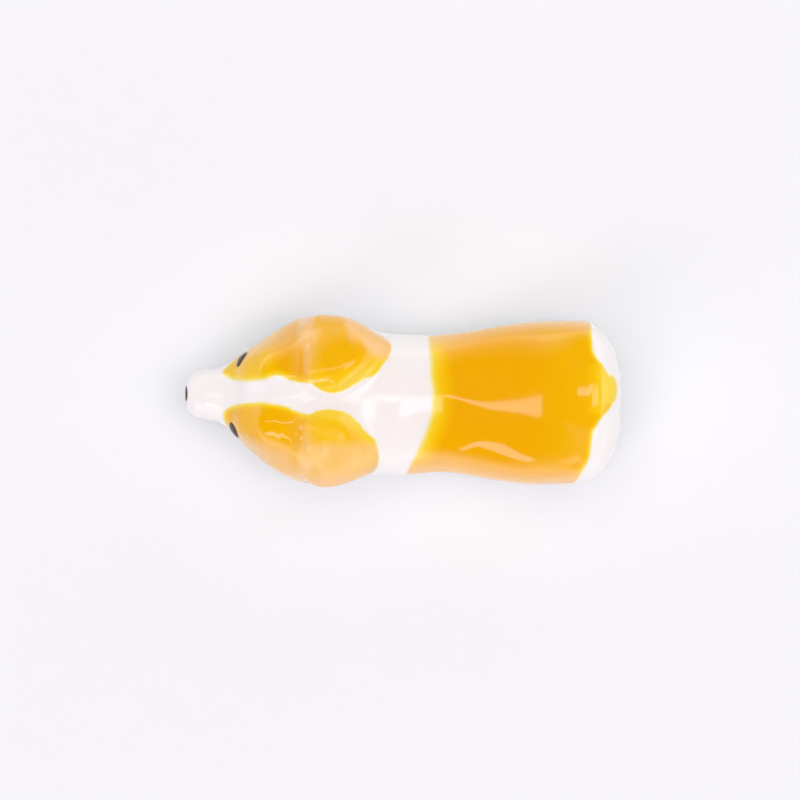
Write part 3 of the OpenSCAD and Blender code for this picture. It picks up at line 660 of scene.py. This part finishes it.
# Painted reflection: steep slopes that face outwards are painted pale peach for the bright walls mirrored in
# them, from a gentler slope on the left than on the right and less on the right cheek: the slope at which
# that starts, and how much more slope it takes until it is palest
SLOPE_RANGE = 0.4
EAR_SLOPE, RIGHT_SLOPE, LEFT_SLOPE = 0.33, 0.56, 0.48
RIGHT_EAR_SLOPE = ((-12.6, -11.9, -8.4, -7.2), (0.33, 0.72, 0.72, 0.33))
RIGHT_CHEEK_SHARE = 0.6
outward = normals[:, 1] * np.where(on_right_ear, 1, np.where(on_left_ear, -1, np.sign(y)))
ear_slope = np.where(on_right_ear, np.interp(x, *RIGHT_EAR_SLOPE), EAR_SLOPE)
sheen_from = np.where(on_ear, ear_slope, np.where(y > 0, RIGHT_SLOPE, LEFT_SLOPE))
painted_sheen = np.clip((outward - sheen_from) / SLOPE_RANGE, 0, 1) * np.where(on_head & (y > 0), RIGHT_CHEEK_SHARE, 1)
# Painted reflection also over the fold between brow and ear, and over the outer halves of the ears, where
# bright bands are mirrored
FOLD_X, FOLD_W = -13.45, 1.3
FOLD_FADE = ((2.5, 4.0, 7.0, 9.5), (0.15, 0.3, 0.62, 0.95))
RIM_X, RIM_Y, RIM_SLANT, RIM_REACH, RIM_INNER_Y, RIGHT_RIM_MOST = -8.0, 10.96, 0.67, 1.4, 5.4, 0.85
LEFT_RIM_Y, LEFT_RIM_REACH, LEFT_RIM_MOST = -5.3, 1.2, 0.6
fold_sheen = np.exp(-((x - FOLD_X) / FOLD_W) ** 2) * np.interp(np.abs(y), *FOLD_FADE)
right_rim_sheen = (np.clip((x - RIM_X - (RIM_Y - y) * RIM_SLANT) / RIM_REACH, 0, 1)
             * np.clip(y - RIM_INNER_Y, 0, 1) * RIGHT_RIM_MOST)
left_rim_sheen = np.clip((LEFT_RIM_Y - y) / LEFT_RIM_REACH, 0, 1) * LEFT_RIM_MOST
ear_rim_sheen = np.where(on_right_ear, right_rim_sheen, np.where(on_left_ear, left_rim_sheen, 0))
painted_sheen = np.where(on_ear | on_head, np.maximum(np.maximum(painted_sheen, fold_sheen), ear_rim_sheen), painted_sheen)
# Painted shade in the crease before each ear, which takes the painted sheen away and deepens the orange: x of
# the crease, and from where to where in y, on each side
RIGHT_CREASE_SHADE, LEFT_CREASE_SHADE = (-13.98, 3.0, 7.6), (-14.15, 3.4, 6.4)
CREASE_SHADE_W, CREASE_SHADE_START, CREASE_SHADE_END, CREASE_SHADE_LEAST_Z, CREASE_SHADE_MOST, CREASE_SHADE_TINT = 0.3, 0.6, 1.2, 8, 0.9, 0.85
crease_shade_x, crease_shade_in, crease_shade_out = (np.where(y > 0, a, b) for a, b in zip(RIGHT_CREASE_SHADE, LEFT_CREASE_SHADE))
crease_shade = (np.exp(-((x - crease_shade_x) / CREASE_SHADE_W) ** 2) * np.clip((np.abs(y) - crease_shade_in) / CREASE_SHADE_START, 0, 1)
        * np.clip((crease_shade_out - np.abs(y)) / CREASE_SHADE_END, 0, 1))
crease_shade = np.where((on_ear | on_head) & (z > CREASE_SHADE_LEAST_Z), crease_shade, 0)
painted_sheen = painted_sheen * (1 - CREASE_SHADE_MOST * crease_shade)
tint = tint + (np.maximum(tint, CREASE_SHADE_TINT) - tint) * crease_shade

# It dries with a satin face on the ears and over the left shoulder of the rump
SHOULDER_X, SHOULDER_Y, EAR_TOP_X, RIGHT_EAR_SATIN = (19.6, 22.8), (2.6, 6.6), (-13.8, -10.9), 0.3
SATIN_ROUNDS = 12
shoulder = ease(x, *SHOULDER_X) * ease(-y, *SHOULDER_Y)
ear_top = ease(x, *EAR_TOP_X)
satin = np.where(on_left_ear, ear_top,
                 np.where(on_right_ear, RIGHT_EAR_SATIN * ear_top, np.where(on_torso, shoulder, 0.0)))
satin = softened(satin, SATIN_ROUNDS)
values = np.stack([tint, painted_sheen, satin], axis=1)

# Which piece each quad belongs to, the colour glazes being pieces of their own
SADDLE, RIGHT_FACE, LEFT_FACE = range(len(NAMES), len(NAMES) + 3)
NAMES += ["saddle_glaze", "right_face_glaze", "left_face_glaze"]


def piece_of(centres):
    piece = nearest_form(centres)
    right = centres[:, 1] > SPLIT_Y
    in_saddle = (piece == TORSO_PIECE) & (saddle_depth(centres)[0] > 0)
    in_right = (piece == HEAD_PIECE) & right & (face_depth(centres, 1) > 0)
    in_left = (piece == HEAD_PIECE) & ~right & (face_depth(centres, -1) > 0)
    return np.select([in_saddle, in_right, in_left], [SADDLE, RIGHT_FACE, LEFT_FACE], piece)


quad_piece = piece_of(points[quads].mean(1))

# The colour glaze stands proud of the white, but only by a fiftieth of a millimetre
GLAZE_LIFT, LIFT_REACH = 0.0196, 1.2
depth = np.where(on_torso, s_depth, np.where(on_head, f_depth, 0))
points = points + normals * (GLAZE_LIFT * ease(depth, 0, LIFT_REACH))[:, None]

# Materials
GLAZE_COLOURS = (
    (0.0, (0.845, 0.828, 0.797, 1)), (0.07, (0.845, 0.75, 0.32, 1)), (0.2, (0.85, 0.635, 0.03, 1)),
    (0.5, (0.86, 0.52, 0.003, 1)), (0.83, (0.83, 0.437, 0.001, 1)), (1.0, (0.815, 0.394, 0.001, 1)))
# The pale peach of painted reflection on steep slopes, over the fold and on the ear rims
PAINTED_SHEEN_COLOUR = (0.86, 0.54, 0.22, 1)
ENAMEL_COLOURS = ((0.0, (0.030, 0.017, 0.014, 1)), (1.0, (0.065, 0.040, 0.036, 1)))
FLOOR_COLOUR = (0.825, 0.860, 0.868, 1)
RUN_SCALE, RUN_DETAIL, RUN_AMOUNT, EDGE_TINT = 420, 4, 0.22, 0.12
WAVE_SCALE, WAVE_DETAIL, WAVE_STRENGTH, WAVE_H = 160, 1, 0.05, 0.0004
GLOSSY_ROUGHNESS, SATIN_ROUGHNESS, GLAZE_IOR = 0.06, 0.25, 1.5
ENAMEL_SCALE, ENAMEL_ROUGHNESS = 900, 0.12
FLOOR_ROUGHNESS = 0.9


def new_material(name):
    m = bpy.data.materials.new(name)
    m.use_nodes = True
    nodes, links = m.node_tree.nodes, m.node_tree.links
    return m, nodes, links, nodes["Principled BSDF"]


def attribute(nodes, name):
    """The output of a value kept on the mesh."""
    node = nodes.new("ShaderNodeAttribute")
    node.attribute_name = name
    return node.outputs["Fac"]


def noise(nodes, links, scale, detail=None):
    """Noise that lies still on the object."""
    coords = nodes.new("ShaderNodeTexCoord")
    node = nodes.new("ShaderNodeTexNoise")
    node.inputs["Scale"].default_value = scale
    if detail is not None:
        node.inputs["Detail"].default_value = detail
    links.new(coords.outputs["Object"], node.inputs["Vector"])
    return node.outputs["Fac"]


def colour_ramp(nodes, links, factor, stops):
    """A ramp of colours at positions, from first to last."""
    node = nodes.new("ShaderNodeValToRGB")
    elements = node.color_ramp.elements
    elements[0].position, elements[0].color = stops[0]
    elements[1].position, elements[1].color = stops[-1]
    for position, colour in stops[1:-1]:
        elements.new(position).color = colour
    links.new(factor, node.inputs["Fac"])
    return node.outputs["Color"]


def ceramic():
    """White porcelain under clear glaze, coloured by the strengths kept on the mesh."""
    m, nodes, links, bsdf = new_material("glazed_porcelain")
    strength = attribute(nodes, "tint")
    # The colour is uneven where there is any, and turns pale peach with a painted reflection of the bright
    # walls where the painted sheen is strong
    uneven = nodes.new("ShaderNodeMath")
    uneven.operation = "MULTIPLY_ADD"
    links.new(noise(nodes, links, RUN_SCALE, RUN_DETAIL), uneven.inputs[0])
    uneven.inputs[1].default_value = RUN_AMOUNT
    uneven.inputs[2].default_value = -RUN_AMOUNT / 2
    coloured = nodes.new("ShaderNodeMapRange")
    links.new(strength, coloured.inputs["Value"])
    coloured.inputs["From Min"].default_value = 0.0
    coloured.inputs["From Max"].default_value = EDGE_TINT
    run = nodes.new("ShaderNodeMath")
    run.operation = "MULTIPLY"
    links.new(uneven.outputs[0], run.inputs[0])
    links.new(coloured.outputs["Result"], run.inputs[1])
    total = nodes.new("ShaderNodeMath")
    links.new(strength, total.inputs[0])
    links.new(run.outputs[0], total.inputs[1])
    amount = nodes.new("ShaderNodeMath")
    amount.operation = "MULTIPLY"
    links.new(attribute(nodes, "painted_sheen"), amount.inputs[0])
    links.new(coloured.outputs["Result"], amount.inputs[1])
    mix = nodes.new("ShaderNodeMix")
    mix.data_type = "RGBA"
    links.new(amount.outputs[0], mix.inputs["Factor"])
    links.new(colour_ramp(nodes, links, total.outputs[0], GLAZE_COLOURS), mix.inputs["A"])
    mix.inputs["B"].default_value = PAINTED_SHEEN_COLOUR
    links.new(mix.outputs["Result"], bsdf.inputs["Base Color"])
    # Slow waves in the glaze bend its reflections
    bump = nodes.new("ShaderNodeBump")
    bump.inputs["Strength"].default_value = WAVE_STRENGTH
    bump.inputs["Distance"].default_value = WAVE_H
    links.new(noise(nodes, links, WAVE_SCALE, WAVE_DETAIL), bump.inputs["Height"])
    links.new(bump.outputs["Normal"], bsdf.inputs["Normal"])
    rough = nodes.new("ShaderNodeMapRange")
    links.new(attribute(nodes, "satin"), rough.inputs["Value"])
    rough.inputs["To Min"].default_value = GLOSSY_ROUGHNESS
    rough.inputs["To Max"].default_value = SATIN_ROUGHNESS
    links.new(rough.outputs["Result"], bsdf.inputs["Roughness"])
    bsdf.inputs["IOR"].default_value = GLAZE_IOR
    return m


def enamel():
    m, nodes, links, bsdf = new_material("black_enamel")
    colour = colour_ramp(nodes, links, noise(nodes, links, ENAMEL_SCALE), ENAMEL_COLOURS)
    links.new(colour, bsdf.inputs["Base Color"])
    bsdf.inputs["Roughness"].default_value = ENAMEL_ROUGHNESS
    return m


PORCELAIN = ceramic()
ENAMEL = enamel()


# Pieces
def add_piece(name, p, faces, material, n=None, values=None):
    """Makes a mesh that stands for the solid of that name. Enamel comes without normals or glaze values."""
    mesh = bpy.data.meshes.new(name)
    mesh.from_pydata((p * MM).tolist(), [], [list(map(int, f)) for f in faces])
    mesh.polygons.foreach_set("use_smooth", [True] * len(mesh.polygons))
    if values is not None:
        for title, column in zip(("tint", "painted_sheen", "satin"), values.T):
            a = mesh.attributes.new(title, "FLOAT", "POINT")
            a.data.foreach_set("value", np.ascontiguousarray(column, np.float32))
    mesh.validate()
    if n is not None:
        mesh.normals_split_custom_set_from_vertices(n.tolist())
    mesh.materials.append(material)
    obj = bpy.data.objects.new(name + "_skin", mesh)
    bpy.context.scene.collection.objects.link(obj)
    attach(obj, "root")
    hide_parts(name)


def border_of(faces, count):
    """The edges that only one face has."""
    ring = sides_of(faces)
    key = np.minimum(ring[:, 0], ring[:, 1]) * count + np.maximum(ring[:, 0], ring[:, 1])
    _, first, uses = np.unique(key, return_index=True, return_counts=True)
    return ring[first[uses == 1]].tolist()


def loops_of(border, count):
    """The border's edges, in groups that hang together."""
    root = np.arange(count)

    def find(a):
        while root[a] != a:
            root[a] = root[root[a]]
            a = root[a]
        return a

    for a, b in border:
        root[find(a)] = find(b)
    groups = {}
    for a, b in border:
        groups.setdefault(find(a), []).append((a, b))
    return groups.values()


# How deep clay lies under a glaze, how thick a glaze is, how deep a cap is, and what keeps the normal at its
# tip from being nothing
CLAY_SUNK, GLAZE_T, CAP_DEPTH, CAP_TILT = 0.4, 0.3, 0.6, 1e-3


def glaze_layer(p, n, values, faces):
    """Gives a layer of glaze its underside and closes its rim."""
    count = len(p)
    border = border_of(faces, count)
    faces = faces.tolist()
    faces += [[q + count for q in reversed(f)] for f in faces]
    faces += [[b, a, a + count, b + count] for a, b in border]
    p = np.concatenate([p, p - n * GLAZE_T])
    return p, np.concatenate([n, -n]), np.concatenate([values, values]), faces


def clay_form(p, n, values, faces):
    """Closes a piece of clay inside the body with a cap on each border."""
    border = border_of(faces, len(p))
    faces = faces.tolist()
    for pairs in loops_of(border, len(p)):
        members = sorted({a for pair in pairs for a in pair})
        apex, inward = len(p), -n[members].mean(0)
        p = np.vstack([p, p[members].mean(0) + CAP_DEPTH * inward])
        n = np.vstack([n, inward - [0, 0, CAP_TILT]])
        values = np.vstack([values, values[members].mean(0)])
        faces += [[b, a, apex] for a, b in pairs]
    return p, n, values, faces


# Under a colour glaze the clay goes on, a little deeper
UNDER = {TORSO_PIECE: [SADDLE], HEAD_PIECE: [RIGHT_FACE, LEFT_FACE]}
for k, name in enumerate(NAMES):
    bare = quads[quad_piece == k]
    covered = quads[np.isin(quad_piece, UNDER.get(k, []))]
    used, flat = np.unique(np.concatenate([bare, covered]), return_inverse=True)
    p, n = points[used], normals[used]
    p = p - CLAY_SUNK * n * (~np.isin(used, bare))[:, None]
    close = glaze_layer if k >= SADDLE else clay_form
    p, n, piece_values, faces = close(p, n, values[used], flat.reshape(-1, 4))
    add_piece(name, p, faces, PORCELAIN, unit(n), piece_values)

# Beads of enamel: how many rings and points round, how far below the skin they go, and how full they are.
# A brushed blot is never quite an oval.
BEAD_RINGS, BEAD_AROUND = 14, 48
BEAD_UNDER, BEAD_EDGE, BEAD_POWER = 0.25, 0.05, 0.55
BLOT_LONG, BLOT_TURN, BLOT_CORNERED = 0.06, 1, 0.04
MIDDLE_SETTLE, BEAD_SETTLE = 6, 4


def bead(name, middle, along, length, breadth, height):
    """A raised bead of enamel laid on the skin."""
    middle = settle(np.array([middle]), MIDDLE_SETTLE)[0]
    normal = unit(slope_at(np.array([middle])))[0]
    t = np.array(along, float)
    t -= t.dot(normal) * normal
    t /= np.linalg.norm(t)
    s = np.cross(normal, t)
    top, under = [], []
    for j in range(BEAD_RINGS + 1):
        r = math.sin(0.5 * math.pi * j / BEAD_RINGS)
        rise = height * (max(0.0, 1 - r * r) ** BEAD_POWER) - BEAD_EDGE * (j == BEAD_RINGS)
        for i in range(BEAD_AROUND if j else 1):
            a = 2 * math.pi * i / BEAD_AROUND
            squeeze = 1 + BLOT_LONG * math.cos(2 * a + BLOT_TURN) + BLOT_CORNERED * math.cos(3 * a)
            flat = middle + r * squeeze * (math.cos(a) * length / 2 * t + math.sin(a) * breadth / 2 * s)
            base = settle(np.array([flat]), BEAD_SETTLE)[0]
            top.append(base + normal * rise)
            under.append(base - normal * BEAD_UNDER)

    def ring_id(j, i):
        return 0 if j == 0 else 1 + (j - 1) * BEAD_AROUND + i % BEAD_AROUND

    faces = []
    for i in range(BEAD_AROUND):
        faces.append([ring_id(0, 0), ring_id(1, i), ring_id(1, i + 1)])
        for j in range(1, BEAD_RINGS):
            faces.append([ring_id(j, i), ring_id(j + 1, i), ring_id(j + 1, i + 1), ring_id(j, i + 1)])
    count = len(top)
    faces += [[q + count for q in reversed(f)] for f in faces]
    for i in range(BEAD_AROUND):
        a, b = ring_id(BEAD_RINGS, i), ring_id(BEAD_RINGS, i + 1)
        faces.append([a, a + count, b + count, b])
    add_piece(name, np.array(top + under), faces, ENAMEL)


# Eyes: the two places in the photograph that each lies between, and its length and breadth
EYES = (("right_eye", ((246.2, 351.6), (238.8, 367.2)), 2.8, 1.8),
        ("left_eye", ((231.8, 422.5), (237.6, 438.0)), 2.9, 1.7))
EYE_H = 0.32
NOSE_W, NOSE_H, NOSE_RISE, NOSE_IN, NOSE_UP_SHARE = 2.1, 1.6, 0.13, 0.1, 0.08
for name, ends, length, breadth in EYES:
    first, second = (top_of(*place) for place in px(ends))
    bead(name, (first + second) / 2, second - first, length, breadth, EYE_H)
muzzle = ring_at(head_at, MUZZLE_X)
nose_middle = (MUZZLE_X + NOSE_IN, muzzle.middle, muzzle.widest + muzzle.rise * NOSE_UP_SHARE)
bead("nose", nose_middle, (0, 1, 0), NOSE_W, NOSE_H, NOSE_RISE)

# The floor, in metres from here on
FLOOR_HALF = 3.0


def floor():
    mesh = bpy.data.meshes.new("floor")
    r = FLOOR_HALF
    mesh.from_pydata([(-r, -r, 0), (r, -r, 0), (r, r, 0), (-r, r, 0)], [], [(0, 1, 2, 3)])
    m, _, _, bsdf = new_material("floor")
    bsdf.inputs["Base Color"].default_value = FLOOR_COLOUR
    bsdf.inputs["Roughness"].default_value = FLOOR_ROUGHNESS
    bsdf.inputs["Specular IOR Level"].default_value = 0.0
    mesh.materials.append(m)
    obj = bpy.data.objects.new("floor", mesh)
    bpy.context.scene.collection.objects.link(obj)


floor()

# The tent of light round the figure, drawn by direction
world = bpy.data.worlds.new("tent")
bpy.context.scene.world = world
world.use_nodes = True
nodes, links = world.node_tree.nodes, world.node_tree.links
background = nodes["Background"]
split = nodes.new("ShaderNodeSeparateXYZ")
links.new(nodes.new("ShaderNodeTexCoord").outputs["Generated"], split.inputs[0])
DX, DY, DZ = split.outputs


def math_node(op, a, b):
    node = nodes.new("ShaderNodeMath")
    node.operation = op
    for i, v in enumerate((a, b)):
        if isinstance(v, (int, float)):
            node.inputs[i].default_value = v
        else:
            links.new(v, node.inputs[i])
    return node.outputs[0]


def plus(*terms):
    out = terms[0]
    for term in terms[1:]:
        out = math_node("ADD", out, term)
    return out


def times(*factors):
    out = factors[0]
    for factor in factors[1:]:
        out = math_node("MULTIPLY", out, factor)
    return out


def ramp_node(v, a, b):
    """0 where v is a, 1 where it is b, smooth between."""
    node = nodes.new("ShaderNodeMapRange")
    node.interpolation_type = "SMOOTHSTEP"
    links.new(v, node.inputs["Value"])
    node.inputs["From Min"].default_value = a
    node.inputs["From Max"].default_value = b
    return node.outputs["Result"]


def window(v, a, b, soft):
    """1 where v is from a to b, with soft edges."""
    return times(ramp_node(v, a - soft, a + soft), ramp_node(v, b + soft, b - soft))


# Where a direction points on a plane overhead: U along the figure, V across it
LEAST_UP, STRIPS_FROM = 0.02, 0.05
up = math_node("MAXIMUM", DZ, LEAST_UP)
U, V = math_node("DIVIDE", DX, up), math_node("DIVIDE", DY, up)
above = math_node("GREATER_THAN", DZ, STRIPS_FROM)

# Bright walls: how strong each is, from which height down it starts and is full, and along which axis and
# from where outwards
WALLS = ((1.25, (0.74, 0.10), DY, (0.15, 0.60)), (1.05, (0.56, 0.20), DY, (-0.15, -0.60)),
         (1.05, (0.36, 0.16), DX, (-0.3, -0.7)), (1.45, (0.34, 0.10), DX, (0.3, 0.7)))
walls = plus(*(times(ramp_node(DZ, *height), ramp_node(axis, *reach), strength)
               for strength, height, axis, reach in WALLS))
# Strips of light in the dark top, the last a patch for the tail: where each starts and ends in U and in V
# with how soft an edge, and how strong it is
TOP_STRIP = ((-1.14, 0.40, 0.03), (-0.043, 0.012, 0.008), 3.4)
NEAR_STRIP = ((-1.62, -0.05, 0.03), (-1.0, -0.61, 0.03), 3.6)
TAIL_PATCH = ((0.42, 1.36, 0.04), (-0.27, 0.02, 0.04), 2.8)
LEAN = -0.12
RUMP_CURL_U, RUMP_CURL, NOSE_CURL_U, NOSE_CURL = -0.56, 1.45, -0.7, 0.75
DARK_TOP = 0.02
WALL_HUE, STRIP_HUE = (0.985, 0.982, 1.045, 1), (1.0, 0.84, 1.05, 1)


def strip_of(place, across_it):
    """One strip of light, with its second window on the value given."""
    u_window, v_window, strength = place
    return times(window(U, *u_window), window(across_it, *v_window), above, strength)


def beyond(a, b):
    """How far a lies beyond b, and 0 where it doesn't."""
    return math_node("MAXIMUM", math_node("SUBTRACT", a, b), 0.0)


# The long strip overhead leans a little on the rump's side, and the one on the near side curls outwards at
# both ends
lean = plus(V, times(math_node("MAXIMUM", U, 0.0), LEAN))
curl = plus(V, times(beyond(U, RUMP_CURL_U), RUMP_CURL), times(beyond(NOSE_CURL_U, U), NOSE_CURL))
strips = plus(strip_of(TOP_STRIP, lean), strip_of(NEAR_STRIP, curl), strip_of(TAIL_PATCH, V))
links.new(plus(walls, strips, DARK_TOP), background.inputs["Strength"])
hue = nodes.new("ShaderNodeMix")
hue.data_type = "RGBA"
links.new(math_node("MINIMUM", strips, 1.0), hue.inputs["Factor"])
hue.inputs["A"].default_value = WALL_HUE
hue.inputs["B"].default_value = STRIP_HUE
links.new(hue.outputs["Result"], background.inputs["Color"])

LAMP_SIZE, LAMP_POWER, LAMP_COLOUR = 1.1, 6.6, (1.0, 0.958, 0.928)
LAMP_X, LAMP_Z = 0.03, 0.75


def lamp():
    """A soft light overhead that shines on the clay but isn't mirrored in the glaze."""
    light = bpy.data.lights.new("softbox", "AREA")
    light.shape = "SQUARE"
    light.size = LAMP_SIZE
    light.energy = LAMP_POWER
    light.color = LAMP_COLOUR
    obj = bpy.data.objects.new("softbox", light)
    obj.location = (LAMP_X, 0, LAMP_Z)
    obj.rotation_euler = (0, math.atan2(LAMP_X, LAMP_Z), 0)
    obj.visible_glossy = False
    bpy.context.scene.collection.objects.link(obj)


lamp()

# The camera looks straight down and takes in this breadth at this height above the table
CAMERA_X, CAMERA_Y, CAMERA_Z = -0.000377, 0.00007, 0.5
VIEW_W, VIEW_Z, SENSOR_W = 0.1117, 0.010, 36
camera = bpy.data.cameras.new("camera")
camera.sensor_width = SENSOR_W
camera.lens = SENSOR_W * (CAMERA_Z - VIEW_Z) / VIEW_W
camera_object = bpy.data.objects.new("camera", camera)
camera_object.location = (CAMERA_X, CAMERA_Y, CAMERA_Z)
bpy.context.scene.collection.objects.link(camera_object)
bpy.context.scene.camera = camera_object
bpy.context.scene.view_settings.view_transform = "Standard"

bpy.context.view_layer.update()
